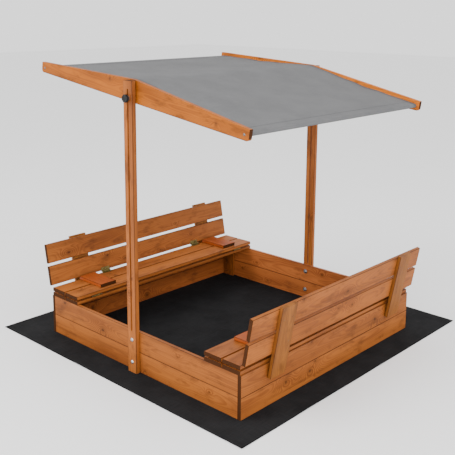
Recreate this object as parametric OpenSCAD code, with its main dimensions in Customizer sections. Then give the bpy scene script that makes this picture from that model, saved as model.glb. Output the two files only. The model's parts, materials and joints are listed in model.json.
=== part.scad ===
// Sandbox with a cover that folds open into two benches, and a fabric roof on two slotted posts.
// X runs from bench to bench, Y from post to post, Z up. The origin is the middle of the
// wooden box on the ground, under the ground sheet.

/* [Box] */
// Outside length and width of the wooden box
box_size = 1160; // [1140:5:1200]
// Width of every board
board_w = 88; // [84:1:92]
// Thickness of every board
board_t = 16; // [14:1:18]
// Rounding of the boards' long edges
edge_r = 2; // [1:0.5:3]
// Width of the upright corner boards inside the box
corner_w = 70; // [50:5:90]

/* [Ground sheet] */
// Length of the ground sheet along X
sheet_w = 1490; // [1400:10:1600]
// Length of the ground sheet along Y
sheet_d = 1530; // [1400:10:1600]
// Thickness of the ground sheet
sheet_t = 1; // [0.5:0.5:2]
// How far the loose sheet lies off the middle along X
sheet_x = -42; // [-80:1:80]
// How far the loose sheet lies off the middle along Y
sheet_y = 54; // [-80:1:80]

/* [Posts] */
// Height of the post tops above the ground
post_h = 1200; // [1150:10:1300]
// Width of a post along the wall
post_w = 52; // [44:1:70]
// Thickness of a post
post_t = 20; // [16:1:26]
// Width of the slot that the clamp bolt slides in
slot_w = 9; // [9:0.5:12]
// Height of the slot's lower end
slot_low = 180; // [178:1:300]
// Height of the slot's upper end
slot_high = 1169; // [1166:1:1180]
// Heights of the two wall bolts of a post
bolt_heights = [46, 143];

/* [Benches] */
// Gap between the two boards of a seat or of a fixed section
seat_gap = 6; // [4:1:8]
// Gap between the two boards of a backrest
back_gap = 14; // [8:1:16]
// How far the benches' outer edges stand in from the wall face
edge_inset = 5; // [3:1:8]
// Lean of an open backrest, in degrees from upright
back_lean = 10.6; // [10:0.1:14]
// Gap between the fixed section and the seat folded onto it
layer_gap = 5.5; // [5.5:0.1:7]
// Length of the battens across a seat
batten_l = 160; // [120:5:164]
// Where the battens and cleats lie along the bench
cleat_places = [-390, 428];
// Where the seat hinges lie along the bench
seat_hinge_places = [-473, 473];
// Where the backrest hinges lie along the bench
back_hinge_places = [-272, 331];

/* [Roof] */
// Half the length of a side rail
rail_half = 606; // [590:1:620]
// Height of a side rail at its ends
rail_end_h = 43; // [38:1:50]
// Height of a side rail at its peak
rail_peak_h = 90; // [80:1:100]
// Height of the pivot above the rail's lower edge
rail_pivot_h = 18; // [15:1:25]
// Height of the roof's pivots above the ground
pivot_z = 1132; // [1100:1:1150]
// Tilt of the roof about its pivots, in degrees
roof_tilt = 7.8; // [0:0.1:15]
// Diameter of the end rods
rod_d = 15; // [12:1:18]
// Width of the canopy between its side edges
canopy_w = 1114; // [1080:2:1116]
// Thickness of the canopy cloth
canopy_t = 1.2; // [0.8:0.1:2]

/* [Fasteners] */
// Diameter of the post bolts and clamp bolts
bolt_d = 8; // [8:0.5:8.5]
// Diameter of the clamp knobs
knob_d = 34; // [28:1:40]
// Length of a butt hinge
hinge_l = 50; // [40:1:60]
// Width of a hinge leaf from its pin to its edge
leaf_w = 19; // [18:1:26]

/* [Hidden] */
$fn = 32;
half = box_size / 2;
wall_top = sheet_t + 2 * board_w;
fixed_top = wall_top + board_t;
seat_base = fixed_top + layer_gap;
seat_top = seat_base + board_t;

// bench places along X, for the bench on the +X side
bench_edge = half - edge_inset;
section_w = 2 * board_w + seat_gap;
back_w = 2 * board_w + back_gap;
hinge_side_gap = 1.5;
seat_pin_x = bench_edge - section_w - hinge_side_gap;
cover_lift = 0.5;
seat_pin_z = (seat_base + fixed_top + cover_lift) / 2;
seat_knuckle_r = 2.5;
back_side_gap = 4;
back_knuckle_r = 3;
back_pin_x = bench_edge + back_side_gap;
back_pin_z = seat_top + back_knuckle_r;
back_offset = back_knuckle_r + 0.5;
wall_clearance = 0.4;
cleat_tail = (back_pin_x + (back_offset + board_t) * cos(back_lean) - half - wall_clearance)
    / sin(back_lean);
cleat_top_over = 8;

// hinges
leaf_t = 1.5;
pin_r = 1.3;
pin_play = 0.05;
knuckle_gap = 0.5;
knuckle_l = (hinge_l - 2 * knuckle_gap) / 3;
knuckle_play = 0.4;
pin_head_r = 2.1;
pin_head_h = 0.8;

// roof places along Y and in the rails' own plane
rail_gap = 4;
rail_face = half - rail_gap;
rail_inner = rail_face - board_t;
rod_s = rail_half - 22;
rod_q = 20;
cloth_play = 0.3;
ridge_top = rail_peak_h - 4.5;
ridge_h = 44;
rail_corner_r = 12;

// fasteners
bolt_r = bolt_d / 2;
hole_play = 0.1;
run_play = 0.08;
head_r = 8.5;
head_h = 4.5;
neck_h = 5;
washer_r = 11;
washer_t = 1.6;
nut_r = 7.5;
nut_h = 6.5;
bolt_tail = 3;
screw_r = 2;
screw_head_r = 3.5;
screw_head_h = 3;
screw_l = 28;
part_gap = 0.3;

wood = [0.78, 0.47, 0.24];
wood_dark = [0.70, 0.38, 0.18];
pale_wood = [0.88, 0.76, 0.58];
steel = [0.78, 0.78, 0.80];
brass = [0.80, 0.66, 0.30];
black = [0.08, 0.08, 0.09];
grey_cloth = [0.56, 0.56, 0.56];

// ---------- shapes that repeat ----------

// A board's end: a rectangle with rounded corners, centred
module board_end(w, t) {
    square([w - 2 * edge_r, t], center = true);
    square([w, t - 2 * edge_r], center = true);
    for (x = [-1, 1], y = [-1, 1])
        translate([x * (w / 2 - edge_r), y * (t / 2 - edge_r)]) circle(edge_r);
}

// Boards centred on the origin: first letter is the way it runs, second the way it is wide
module board_yx(l) rotate([90, 0, 0]) linear_extrude(l, center = true) board_end(board_w, board_t);
module board_yz(l) rotate([90, 0, 0]) linear_extrude(l, center = true) board_end(board_t, board_w);
module board_xz(l) rotate([90, 0, 90]) linear_extrude(l, center = true) board_end(board_t, board_w);

// Countersunk wood screw pointing down from its head face at the origin
module screw(play = 0) {
    translate([0, 0, -screw_head_h]) cylinder(h = screw_head_h, r1 = screw_r + play,
        r2 = screw_head_r + play);
    translate([0, 0, -screw_l - play]) cylinder(h = screw_l - screw_head_h + play,
        r = screw_r + play);
}

// A round bar along Y from the origin
module bar_y(r, l) rotate([-90, 0, 0]) cylinder(h = l, r = r);

// Puts a bench part on the +X side (side = 1) or mirrors it to the -X side (side = -1)
module on_side(side) mirror([side < 0 ? 1 : 0, 0, 0]) children();

// Puts a part on the -Y end (rear = 0) or mirrors it to the +Y end (rear = 1)
module on_end(rear) mirror([0, rear, 0]) children();

// ---------- box ----------

module ground_sheet() color(black)
    translate([sheet_x - sheet_w / 2, sheet_y - sheet_d / 2, 0]) cube([sheet_w, sheet_d, sheet_t]);

// Middle height of the lower (0) and the upper (1) board of a wall
function board_z(row) = sheet_t + (row + 0.5) * board_w;

// Screws from inside through the corner boards into the post walls, two a board
module corner_screws(play = 0)
    for (row = [0, 1], x = [0.28, 0.72], z = [-20, 20])
        translate([half - board_t - x * corner_w, -half + 2 * board_t, board_z(row) + z])
            rotate([-90, 0, 0]) screw(play);

module bench_wall(side, row) color(wood) on_side(side)
    translate([half - board_t / 2, 0, board_z(row)]) board_yz(box_size);

// Bolts' path through post and wall
module post_bolt_holes()
    for (z = bolt_heights) translate([0, -half - post_t - 1, z])
        bar_y(bolt_r + hole_play, post_t + board_t + 2);

// Screws down through the fixed boards into the top edges of the post walls
module fixed_screws(play = 0)
    for (x = [0.25, 0.75], col = [0, 1])
        translate([bench_edge - col * (board_w + seat_gap) - x * board_w, -half + board_t / 2,
            fixed_top]) screw(play);

module post_wall(rear, row) color(wood) on_end(rear) difference() {
    translate([0, -half + board_t / 2, board_z(row)]) board_xz(box_size - 2 * board_t);
    post_bolt_holes();
    for (side = [-1, 1]) on_side(side) {
        corner_screws(hole_play);
        fixed_screws(hole_play);
    }
}

module corner_board(side, rear) color(wood_dark) on_side(side) on_end(rear) difference() {
    translate([half - board_t - corner_w / 2, -half + 1.5 * board_t, sheet_t])
        linear_extrude(2 * board_w) board_end(corner_w, board_t);
    corner_screws(hole_play);
}

module frame_screws() color(brass) for (side = [-1, 1], rear = [0, 1])
    on_side(side) on_end(rear) {
        corner_screws();
        fixed_screws();
    }

// ---------- posts ----------

module post(rear) color(wood) on_end(rear) difference() {
    translate([0, -half - post_t / 2, sheet_t]) linear_extrude(post_h - sheet_t)
        board_end(post_w, post_t);
    translate([0, -half + 1, 0]) rotate([90, 0, 0]) linear_extrude(post_t + 2) {
        translate([-slot_w / 2, slot_low + slot_w / 2]) square([slot_w, slot_high - slot_low - slot_w]);
        for (z = [slot_low + slot_w / 2, slot_high - slot_w / 2]) translate([0, z]) circle(slot_w / 2);
    }
    post_bolt_holes();
    for (z = bolt_heights) translate([0, -half - post_t, z])
        cube([bolt_d + 2 * hole_play, 2 * neck_h, bolt_d + 2 * hole_play], center = true);
}

// Domed head of radius r and height h, its flat face at the origin, facing -Y
module domed_head(r, h) {
    ball_r = (r * r + h * h) / (2 * h);
    rotate([90, 0, 0]) intersection() {
        cylinder(h = h, r = r);
        translate([0, 0, h - ball_r]) sphere(ball_r, $fn = 64);
    }
}

module post_bolts() color(steel) for (rear = [0, 1], z = bolt_heights) on_end(rear)
    translate([0, -half - post_t, z]) {
        domed_head(head_r, head_h);
        translate([-bolt_r, 0, -bolt_r]) cube([bolt_d, neck_h - hole_play, bolt_d]);
        bar_y(bolt_r, post_t + board_t + washer_t + nut_h + bolt_tail);
    }

module post_washers() color(steel) for (rear = [0, 1], z = bolt_heights) on_end(rear)
    translate([0, -half + board_t, z]) difference() {
        bar_y(washer_r, washer_t);
        translate([0, -1, 0]) bar_y(bolt_r + hole_play, washer_t + 2);
    }

module post_nuts() color(steel) for (rear = [0, 1], z = bolt_heights) on_end(rear)
    translate([0, -half + board_t + washer_t, z]) difference() {
        rotate([-90, 0, 0]) cylinder(h = nut_h, r = nut_r, $fn = 6);
        translate([0, -1, 0]) bar_y(bolt_r + hole_play, nut_h + 2);
    }

// ---------- benches ----------

// Middle of the outer (0) and the inner (1) board of a bench section
function section_x(col) = bench_edge - col * (board_w + seat_gap) - board_w / 2;

module fixed_board(side, col) color(wood) on_side(side) difference() {
    translate([section_x(col), 0, wall_top + board_t / 2]) board_yx(box_size);
    for (rear = [0, 1]) on_end(rear) fixed_screws(hole_play);
}

// Screws through the battens into the two seat boards
module seat_screw_set(play = 0)
    for (y = cleat_places, dy = [-26, 26], col = [0, 1])
        translate([section_x(col) + (col == 0 ? -12 : 8), y + dy, seat_top + board_t]) screw(play);

module seat_board(side, col) color(wood) on_side(side) difference() {
    translate([section_x(col), 0, seat_top - board_t / 2]) board_yx(box_size);
    seat_screw_set(hole_play);
}

module seat_battens(side) color(wood_dark) on_side(side) difference() {
    for (y = cleat_places)
        translate([bench_edge - 3 - batten_l / 2, y, seat_top + board_t / 2])
            rotate([90, 0, 90]) linear_extrude(batten_l, center = true) board_end(board_w, board_t);
    seat_screw_set(hole_play);
}

module seat_screws(side) color(brass) on_side(side) seat_screw_set();

// An open backrest's own place: its hinge pin is the Y axis, its boards rise along Z
module at_backrest(side) on_side(side) translate([back_pin_x, 0, back_pin_z])
    rotate([0, back_lean, 0]) children();

// Screws through the cleats into the two backrest boards
module cleat_screw_set(play = 0)
    for (y = cleat_places, dy = [-26, 26], z = [0.5 * board_w, 1.5 * board_w + back_gap])
        translate([back_offset + 2 * board_t, y + dy, back_side_gap + z])
            rotate([0, 90, 0]) screw(play);

module back_board(side, row) color(wood) at_backrest(side) difference() {
    translate([back_offset + board_t / 2, 0,
        back_side_gap + row * (board_w + back_gap) + board_w / 2]) board_yz(box_size);
    cleat_screw_set(hole_play);
}

module cleats(side) color(wood_dark) at_backrest(side) difference() {
    for (y = cleat_places)
        translate([back_offset + 1.5 * board_t, y, -cleat_tail])
            linear_extrude(cleat_tail + back_side_gap + back_w + cleat_top_over)
                board_end(board_t, board_w);
    cleat_screw_set(hole_play);
}

module cleat_screws(side) color(brass) at_backrest(side) cleat_screw_set();

// ---------- hinges ----------

// Where a hinge's knuckles start along its pin: the outer leaf has two, the inner leaf one
function outer_knuckles() = [0, 2 * (knuckle_l + knuckle_gap)];
function inner_knuckles() = [knuckle_l + knuckle_gap];

// One leaf of a butt hinge, its pin along Y through the origin, its plate on +X. The plate lies
// from z0 to z0 + leaf_t, and is cut back round the other leaf's knuckles.
module leaf(knuckles, others, r, z0) translate([0, -hinge_l / 2, 0]) difference() {
    union() {
        difference() {
            translate([0, 0, z0]) cube([leaf_w, hinge_l, leaf_t]);
            for (y = others) translate([0, y - knuckle_gap, 0])
                bar_y(r + knuckle_play, knuckle_l + 2 * knuckle_gap);
        }
        for (y = knuckles) translate([0, y, 0]) bar_y(r, knuckle_l);
    }
    translate([0, -1, 0]) bar_y(pin_r + pin_play, hinge_l + 2);
}

module hinge_pin() {
    translate([0, -hinge_l / 2, 0]) bar_y(pin_r, hinge_l);
    translate([0, -hinge_l / 2 - pin_head_h, 0]) bar_y(pin_head_r, pin_head_h);
    translate([0, hinge_l / 2, 0]) bar_y(pin_head_r, pin_head_h);
}

module at_seat_hinges(side) on_side(side) for (y = seat_hinge_places)
    translate([seat_pin_x, y, seat_pin_z]) children();

module at_back_hinges() for (y = back_hinge_places) translate([0, y, 0]) children();

module seat_hinge_fixed_leaves() color(brass) for (side = [-1, 1]) at_seat_hinges(side)
    leaf(outer_knuckles(), inner_knuckles(), seat_knuckle_r, fixed_top - seat_pin_z);

module seat_hinge_pins() color(steel) for (side = [-1, 1]) at_seat_hinges(side) hinge_pin();

module seat_hinge_leaves(side) color(brass) at_seat_hinges(side)
    leaf(inner_knuckles(), outer_knuckles(), seat_knuckle_r, seat_base - seat_pin_z - leaf_t);

module back_hinge_seat_leaves(side) color(brass) on_side(side)
    translate([back_pin_x, 0, back_pin_z]) at_back_hinges() rotate([0, 0, 180])
        leaf(outer_knuckles(), inner_knuckles(), back_knuckle_r, -back_knuckle_r);

module back_hinge_pins(side) color(steel) on_side(side)
    translate([back_pin_x, 0, back_pin_z]) at_back_hinges() hinge_pin();

module back_hinge_leaves(side) color(brass) at_backrest(side) at_back_hinges()
    rotate([0, -90, 0]) leaf(inner_knuckles(), outer_knuckles(), back_knuckle_r, -back_offset);

// ---------- roof ----------

// The tilted roof's own place: its pivots are the Y axis, q is height above the rails' lower edge
module at_roof() translate([0, 0, pivot_z]) rotate([0, roof_tilt, 0])
    translate([0, 0, -rail_pivot_h]) children();

module rail_outline() {
    polygon([[-rail_half + rail_corner_r, 0], [rail_half - rail_corner_r, 0],
        [rail_half - rail_corner_r, rail_corner_r], [rail_half, rail_corner_r],
        [rail_half, rail_end_h], [0, rail_peak_h], [-rail_half, rail_end_h],
        [-rail_half, rail_corner_r], [-rail_half + rail_corner_r, rail_corner_r]]);
    for (s = [-1, 1]) translate([s * (rail_half - rail_corner_r), rail_corner_r])
        circle(rail_corner_r);
}

// Places of the rail screws in the rail's plane: into the two rods and the ridge bar
rail_screw_places = [[-rod_s, rod_q], [rod_s, rod_q], [0, ridge_top - ridge_h / 2]];
rail_screw_r = 2.5;
rail_screw_head_r = 5;
rail_screw_head_h = 2.5;
rail_screw_l = 40;

module rail_screw_holes() for (p = rail_screw_places) translate([p[0], -rail_face - 1, p[1]])
    bar_y(rail_screw_r + hole_play, rail_screw_l + 1.5);

module rail(rear) color(wood) at_roof() on_end(rear) difference() {
    translate([0, -rail_inner, 0]) rotate([90, 0, 0]) linear_extrude(board_t) rail_outline();
    translate([0, -rail_face - 1, rail_pivot_h]) bar_y(bolt_r + run_play, board_t + 2);
    rail_screw_holes();
}

module rail_screws() color(steel) at_roof() for (rear = [0, 1], p = rail_screw_places)
    on_end(rear) translate([p[0], -rail_face, p[1]]) {
        domed_head(rail_screw_head_r, rail_screw_head_h);
        bar_y(rail_screw_r, rail_screw_l);
    }

module end_rod(side) color(pale_wood) at_roof() difference() {
    translate([side * rod_s, -rail_inner, rod_q]) bar_y(rod_d / 2, 2 * rail_inner);
    for (rear = [0, 1]) on_end(rear) rail_screw_holes();
}

module ridge_bar() color(pale_wood) at_roof() difference() {
    translate([0, 0, ridge_top - ridge_h / 2]) rotate([90, 0, 0])
        linear_extrude(2 * rail_inner, center = true) board_end(board_t, ridge_h);
    for (rear = [0, 1]) on_end(rear) rail_screw_holes();
}

// Canopy: a sleeve round each end rod and one sheet over the ridge bar between them
sleeve_r = rod_d / 2 + cloth_play;
sleeve_top = rod_q + sleeve_r + canopy_t;
canopy_peak = ridge_top + cloth_play + 0.8 + canopy_t;
module canopy() color(grey_cloth) at_roof() rotate([90, 0, 0])
    linear_extrude(canopy_w, center = true) difference() {
        union() {
            polygon([[-rod_s, sleeve_top - canopy_t + 0.2], [0, canopy_peak - canopy_t],
                [rod_s, sleeve_top - canopy_t + 0.2], [rod_s, sleeve_top - 0.2],
                [0, canopy_peak], [-rod_s, sleeve_top - 0.2]]);
            for (s = [-rod_s, rod_s]) translate([s, rod_q]) circle(sleeve_r + canopy_t);
        }
        for (s = [-rod_s, rod_s]) translate([s, rod_q]) circle(sleeve_r);
    }

// ---------- clamps ----------

clamp_washer_t = 2;
clamp_head_h = 4;
knob_hub_h = 5;
knob_h = 15;
knob_face = half + post_t + part_gap + clamp_washer_t + part_gap;
clamp_tip = knob_face + 10.5;

// Bolt from inside the rail out through the slot, with a spacer washer between rail and post
module clamp_bolts() color(steel) for (rear = [0, 1]) on_end(rear) translate([0, 0, pivot_z]) {
    translate([0, -clamp_tip, 0]) bar_y(bolt_r, clamp_tip - rail_inner + part_gap);
    translate([0, -rail_inner + part_gap, 0]) bar_y(head_r, clamp_head_h);
}

module washer_at(y, t) translate([0, y, pivot_z]) difference() {
    bar_y(washer_r, t);
    translate([0, -1, 0]) bar_y(bolt_r + hole_play, t + 2);
}

module clamp_washers() color(steel) for (rear = [0, 1]) on_end(rear) {
    washer_at(-half - post_t - part_gap - clamp_washer_t, clamp_washer_t);
    washer_at(-half + part_gap, rail_gap - 2 * part_gap);
}

// Round hand knob with a fluted rim, a hub towards the post and a blind hole for the bolt
module knob(rear) color(black) on_end(rear) translate([0, -knob_face, pivot_z]) rotate([90, 0, 0])
    difference() {
        union() {
            cylinder(h = knob_hub_h, r = 0.34 * knob_d);
            translate([0, 0, knob_hub_h]) cylinder(h = knob_h - knob_hub_h - 2, r = knob_d / 2);
            translate([0, 0, knob_h - 2]) cylinder(h = 2, r1 = knob_d / 2, r2 = knob_d / 2 - 2);
        }
        for (i = [0:7]) rotate(i * 45) translate([knob_d / 2 + 4.5, 0, knob_hub_h - 1])
            cylinder(h = knob_h, r = 7);
        translate([0, 0, -1]) cylinder(h = 12, r = bolt_r + run_play);
    }

// ---------- one line a node ----------

ground_sheet();
bench_wall(-1, 0);  // left_wall_lower
bench_wall(-1, 1);  // left_wall_upper
bench_wall(1, 0);  // right_wall_lower
bench_wall(1, 1);  // right_wall_upper
post_wall(0, 0);  // front_wall_lower
post_wall(0, 1);  // front_wall_upper
post_wall(1, 0);  // rear_wall_lower
post_wall(1, 1);  // rear_wall_upper
corner_board(-1, 0);  // corner_front_left
corner_board(1, 0);  // corner_front_right
corner_board(-1, 1);  // corner_rear_left
corner_board(1, 1);  // corner_rear_right
post(0);  // front_post
post(1);  // rear_post
post_bolts();
post_washers();
post_nuts();
frame_screws();
fixed_board(-1, 0);  // left_fixed_outer
fixed_board(-1, 1);  // left_fixed_inner
fixed_board(1, 0);  // right_fixed_outer
fixed_board(1, 1);  // right_fixed_inner
seat_hinge_fixed_leaves();
seat_hinge_pins();
seat_board(-1, 0);  // left_seat_outer
seat_board(-1, 1);  // left_seat_inner
seat_battens(-1);  // left_seat_battens
seat_screws(-1);  // left_seat_screws
seat_hinge_leaves(-1);  // left_seat_hinge_leaves
back_hinge_seat_leaves(-1);  // left_back_hinge_seat_leaves
back_hinge_pins(-1);  // left_back_hinge_pins
seat_board(1, 0);  // right_seat_outer
seat_board(1, 1);  // right_seat_inner
seat_battens(1);  // right_seat_battens
seat_screws(1);  // right_seat_screws
seat_hinge_leaves(1);  // right_seat_hinge_leaves
back_hinge_seat_leaves(1);  // right_back_hinge_seat_leaves
back_hinge_pins(1);  // right_back_hinge_pins
back_board(-1, 0);  // left_back_lower
back_board(-1, 1);  // left_back_upper
cleats(-1);  // left_cleats
cleat_screws(-1);  // left_cleat_screws
back_hinge_leaves(-1);  // left_back_hinge_leaves
back_board(1, 0);  // right_back_lower
back_board(1, 1);  // right_back_upper
cleats(1);  // right_cleats
cleat_screws(1);  // right_cleat_screws
back_hinge_leaves(1);  // right_back_hinge_leaves
rail(0);  // front_rail
rail(1);  // rear_rail
end_rod(-1);  // left_rod
end_rod(1);  // right_rod
ridge_bar();
canopy();
rail_screws();
clamp_bolts();
clamp_washers();
knob(0);  // front_knob
knob(1);  // rear_knob
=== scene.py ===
# %% [markdown]
# # A sandbox whose cover folds open into two benches
# A square wooden sandbox stands on a loose ground sheet. Two slotted posts carry a small
# fabric roof, and the two halves of the cover stand open as benches.
# The CAD model is loaded first and stays as it is: it holds every board, bolt, hinge and
# joint. This lesson gives each board its own piece of timber, and makes by hand what a plain
# solid can't show: the cloth of the roof, the ground sheet, the clamp knobs and the screws.

# %% Load the frame
import json
import math
import random

import bmesh
import bpy
from mathutils import Matrix, Quaternion, Vector


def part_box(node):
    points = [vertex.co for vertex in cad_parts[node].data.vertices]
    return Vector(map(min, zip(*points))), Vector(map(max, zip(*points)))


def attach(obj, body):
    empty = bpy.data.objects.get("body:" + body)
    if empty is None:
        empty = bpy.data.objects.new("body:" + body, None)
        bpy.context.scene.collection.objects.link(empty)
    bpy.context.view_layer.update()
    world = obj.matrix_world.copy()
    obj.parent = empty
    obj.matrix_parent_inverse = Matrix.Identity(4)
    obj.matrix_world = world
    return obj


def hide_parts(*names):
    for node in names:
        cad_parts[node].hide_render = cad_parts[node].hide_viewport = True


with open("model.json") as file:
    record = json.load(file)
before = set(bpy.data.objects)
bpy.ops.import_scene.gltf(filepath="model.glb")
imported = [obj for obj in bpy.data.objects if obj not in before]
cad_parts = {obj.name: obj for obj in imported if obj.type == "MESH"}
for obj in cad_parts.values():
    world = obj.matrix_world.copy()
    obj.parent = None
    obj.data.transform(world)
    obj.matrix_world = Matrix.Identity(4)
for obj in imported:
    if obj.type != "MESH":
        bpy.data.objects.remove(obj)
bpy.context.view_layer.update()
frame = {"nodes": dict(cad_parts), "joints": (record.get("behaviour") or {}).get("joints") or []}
nodes = frame["nodes"]

# %% [markdown]
# ## Camera
# The camera stands a little above the roof's height, in front of the corner between the post
# wall and the right bench, and looks slightly down. Its lens is long, and a small shift
# keeps the upright posts nearly parallel.

# %% Camera
scene = bpy.context.scene
CAMERA_PLACE = Vector((2.296, -2.513, 1.478))
CAMERA_TURN = math.radians(132.8)
CAMERA_DIP = math.radians(-11.1)
CAMERA_ROLL = 0.007

camera_data = bpy.data.cameras.new("camera")
camera_data.sensor_width = 36
camera_data.lens = 61.4
camera_data.shift_y = -0.15
camera = bpy.data.objects.new("camera", camera_data)
scene.collection.objects.link(camera)
looks_along = Vector((math.cos(CAMERA_DIP) * math.cos(CAMERA_TURN),
                      math.cos(CAMERA_DIP) * math.sin(CAMERA_TURN), math.sin(CAMERA_DIP)))
camera.rotation_mode = "QUATERNION"
camera.rotation_quaternion = (looks_along.to_track_quat("-Z", "Y")
                              @ Quaternion((0, 0, 1), CAMERA_ROLL))
camera.location = CAMERA_PLACE
scene.camera = camera
print("camera looks along", tuple(looks_along))

# %% [markdown]
# ## Floor and light
# A product stands in a white room with large soft lamps. The floor is one wide pale plane,
# the world gives an even fill, and two big square lamps give the tops a little more light
# than the sides, so that every board's rounded edge shows. A third, low lamp reaches the
# walls inside the box, below the roof.

# %% Floor and light
def select_only(*pieces):
    """Selects these pieces and nothing else, and makes the first one active."""
    bpy.ops.object.select_all(action="DESELECT")
    for piece in pieces:
        piece.select_set(True)
    bpy.context.view_layer.objects.active = pieces[0]


def colour(red, green, blue):
    """A colour as seen on a screen, 0 to 255, as the linear values that a shader takes."""
    parts = [part / 255 for part in (red, green, blue)]
    linear = [p / 12.92 if p <= 0.04045 else ((p + 0.055) / 1.055) ** 2.4 for p in parts]
    return (*linear, 1)


FLOOR_SIZE = 40
FLOOR_DROP = 0.001
FLOOR_PAINT = (0.9, 0.9, 0.9, 1)
FILL_STRENGTH = 1.6
bpy.ops.object.select_all(action="DESELECT")
bpy.ops.mesh.primitive_plane_add(size=FLOOR_SIZE, location=(0, 0, -FLOOR_DROP))
floor = bpy.context.object
floor.name = "studio_floor"
floor_paint = bpy.data.materials.new("floor_paint")
floor_paint.use_nodes = True
floor_surface = floor_paint.node_tree.nodes["Principled BSDF"]
floor_surface.inputs["Base Color"].default_value = FLOOR_PAINT
floor_surface.inputs["Roughness"].default_value = 0.8
floor.data.materials.append(floor_paint)

world = bpy.data.worlds.new("studio")
world.use_nodes = True
world.node_tree.nodes["Background"].inputs["Color"].default_value = (1, 1, 1, 1)
world.node_tree.nodes["Background"].inputs["Strength"].default_value = FILL_STRENGTH
scene.world = world


def soft_lamp(name, place, target, size, watts):
    """A square lamp of that size, turned to shine from its place towards the target."""
    lamp_data = bpy.data.lights.new(name, "AREA")
    lamp_data.size = size
    lamp_data.energy = watts
    lamp = bpy.data.objects.new(name, lamp_data)
    scene.collection.objects.link(lamp)
    lamp.location = place
    shines = Vector(target) - Vector(place)
    lamp.rotation_euler = shines.to_track_quat("-Z", "Y").to_euler()


soft_lamp("key_lamp", (-1.5, -3.5, 4.0), (0, 0, 0.4), 2.5, 150)
soft_lamp("side_lamp", (4.0, 0.5, 3.0), (0, 0, 0.3), 2.5, 80)
soft_lamp("low_lamp", (2.2, -3.2, 1.3), (0, 0.3, 0.2), 2.0, 70)
print("floor, world and three lamps are in")

# %% [markdown]
# ## Shader maths as Python
# A material is a graph of nodes. Written by hand that is long and hard to read, so a number
# on its way through the graph is wrapped in a small class. Adding or multiplying two such
# numbers adds the Math node that does it, and the whole pattern reads as a formula.

# %% Shader maths as Python
class Number:
    """A number on its way through a shader. Sums on it add Math nodes."""

    def __init__(self, finish, socket):
        self.finish = finish
        self.socket = socket

    def math(self, operation, *others):
        made = self.finish.node("Math", {"operation": operation}, self, *others)
        return Number(self.finish, made.outputs[0])

    def __add__(self, other):
        return self.math("ADD", other)

    __radd__ = __add__

    def __sub__(self, other):
        return self.math("SUBTRACT", other)

    def __rsub__(self, other):
        return (self * -1).math("ADD", other)

    def __mul__(self, other):
        return self.math("MULTIPLY", other)

    __rmul__ = __mul__

    def __pow__(self, other):
        return self.math("POWER", other)

    def __abs__(self):
        return self.math("ABSOLUTE")

    def rise(self, low, high):
        """0 below low, 1 above high, and smooth between."""
        made = self.finish.node("MapRange", {"interpolation_type": "SMOOTHSTEP"}, self, low, high)
        return Number(self.finish, made.outputs[0])


class Finish:
    """A material. node() adds any node, and surface is its Principled shader."""

    def __init__(self, name, **settings):
        self.material = bpy.data.materials.new(name)
        self.material.use_nodes = True
        self.tree = self.material.node_tree
        self.surface = self.tree.nodes["Principled BSDF"]
        for socket, value in settings.items():
            self.surface.inputs[socket.replace("_", " ")].default_value = value

    def feed(self, socket, value):
        if isinstance(value, Number):
            value = value.socket
        if isinstance(value, bpy.types.NodeSocket):
            self.tree.links.new(value, socket)
        else:
            socket.default_value = value

    def node(self, kind, settings, *values, **named):
        """A node with its settings, the values of its first sockets, and others by name."""
        made = self.tree.nodes.new("ShaderNode" + kind)
        for setting, value in settings.items():
            setattr(made, setting, value)
        for socket, value in zip(made.inputs, values):
            self.feed(socket, value)
        for socket, value in named.items():
            self.feed(made.inputs[socket.replace("_", " ")], value)
        return made

    def set(self, socket, value):
        self.feed(self.surface.inputs[socket], value)

    def axes(self, vector):
        """The three numbers of a vector."""
        made = self.node("SeparateXYZ", {}, vector)
        return [Number(self, socket) for socket in made.outputs]

    def place(self, location=(0, 0, 0), rotation=(0, 0, 0), scale=(1, 1, 1), source="Object"):
        """Object coordinates (or the UV map), turned, stretched and moved."""
        coordinates = self.node("TexCoord", {}).outputs[source]
        made = self.node("Mapping", {}, coordinates, location, rotation, scale)
        return made.outputs[0]

    def stretch(self, vector, scale, shift=(0, 0, 0)):
        """A vector stretched and shifted once more."""
        return self.node("Mapping", {}, vector, shift, (0, 0, 0), scale).outputs[0]

    def noise(self, vector, scale, detail=2.0, roughness=0.5):
        """Smooth noise, around 0.5."""
        made = self.node("TexNoise", {}, Vector=vector, Scale=scale, Detail=detail,
                         Roughness=roughness)
        return Number(self, made.outputs["Fac"])

    def mix(self, amount, first, second):
        """first where amount is 0, second where it is 1. Both are colours."""
        made = self.node("Mix", {"data_type": "RGBA", "clamp_factor": True})
        self.feed(made.inputs[0], amount)
        self.feed(made.inputs[6], first)
        self.feed(made.inputs[7], second)
        return made.outputs[2]

    def bump(self, height, distance, strength=1.0):
        """Bends the surface's normals by a height from 0 to 1, over that many metres."""
        made = self.node("Bump", {}, Strength=strength, Distance=distance, Height=height)
        self.set("Normal", made.outputs[0])


def give(piece, finish):
    """Puts a finish on every material slot of a piece."""
    if not piece.material_slots:
        piece.data.materials.append(finish.material)
    for material_slot in piece.material_slots:
        material_slot.material = finish.material


print("shader helpers ready")

# %% [markdown]
# ## Timber
# Each board is sawn from a different place in a log of spruce, then dipped in brown stain.
# Growth rings are rings round the log's heart, so one formula does the faces and the ends:
# the distance to a heart line that runs beside the board and drifts along it. Where the drift
# crosses a face the rings draw long arches. A knot is a branch: the rings flow round it, and
# its own core is dark. Stain soaks deepest into the end grain, which comes out darkest.

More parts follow.
